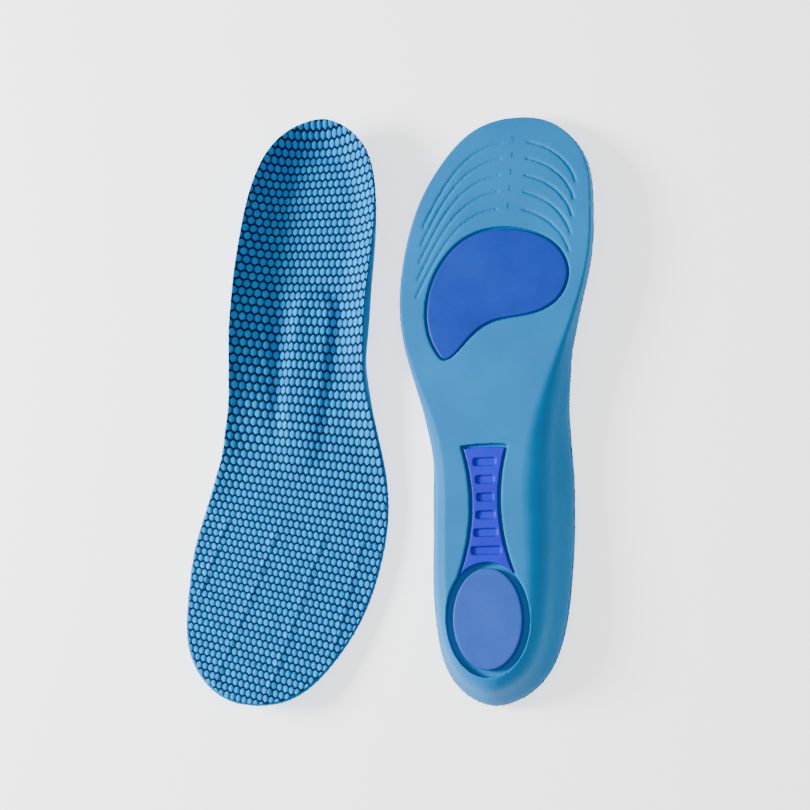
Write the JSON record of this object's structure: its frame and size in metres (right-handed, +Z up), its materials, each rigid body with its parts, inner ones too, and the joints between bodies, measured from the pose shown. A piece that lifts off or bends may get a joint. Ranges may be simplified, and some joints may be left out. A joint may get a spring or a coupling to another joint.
{
  "type": "cushioned insole pair",
  "caption": "Left and right cushioned shoe insoles, moulded foam with heel cup, mesh cover, pads and slotted arch shank let into the underside.",
  "frame": {"origin": "middle of the pair's box, on the ground it lies on", "axes": "+Z up; +Y along the insoles, towards the toes of the turned-over right insole and the heel of the face-up left insole; +X from the left insole to the right insole"},
  "size_m": [0.1882, 0.2702, 0.0245],
  "materials": {
    "mesh_cover": "honeycomb mesh knit, light blue cells between dark lines",
    "support_foam": "dense white foam",
    "moulded_foam": "matt moulded polyurethane foam, sky blue",
    "forefoot_gel": "soft royal-blue gel elastomer",
    "shank_plastic": "satin violet-blue thermoplastic polyurethane",
    "heel_gel": "soft slate-blue gel elastomer"
  },
  "bodies": {
    "left_insole": {"left_top_cover": "mesh_cover", "left_arch_pad": "support_foam", "left_foam_base": "moulded_foam", "left_forefoot_pad": "forefoot_gel", "left_arch_shank": "shank_plastic", "left_heel_pad": "heel_gel"},
    "right_insole": {"right_top_cover": "mesh_cover", "right_arch_pad": "support_foam", "right_foam_base": "moulded_foam", "right_forefoot_pad": "forefoot_gel", "right_arch_shank": "shank_plastic", "right_heel_pad": "heel_gel"}
  },
  "joints": [
    {"name": "right_lift", "type": "slide", "parent": "left_insole", "child": "right_insole", "axis": [0, 0, 1], "range_m": [0, 0.12]}
  ]
}
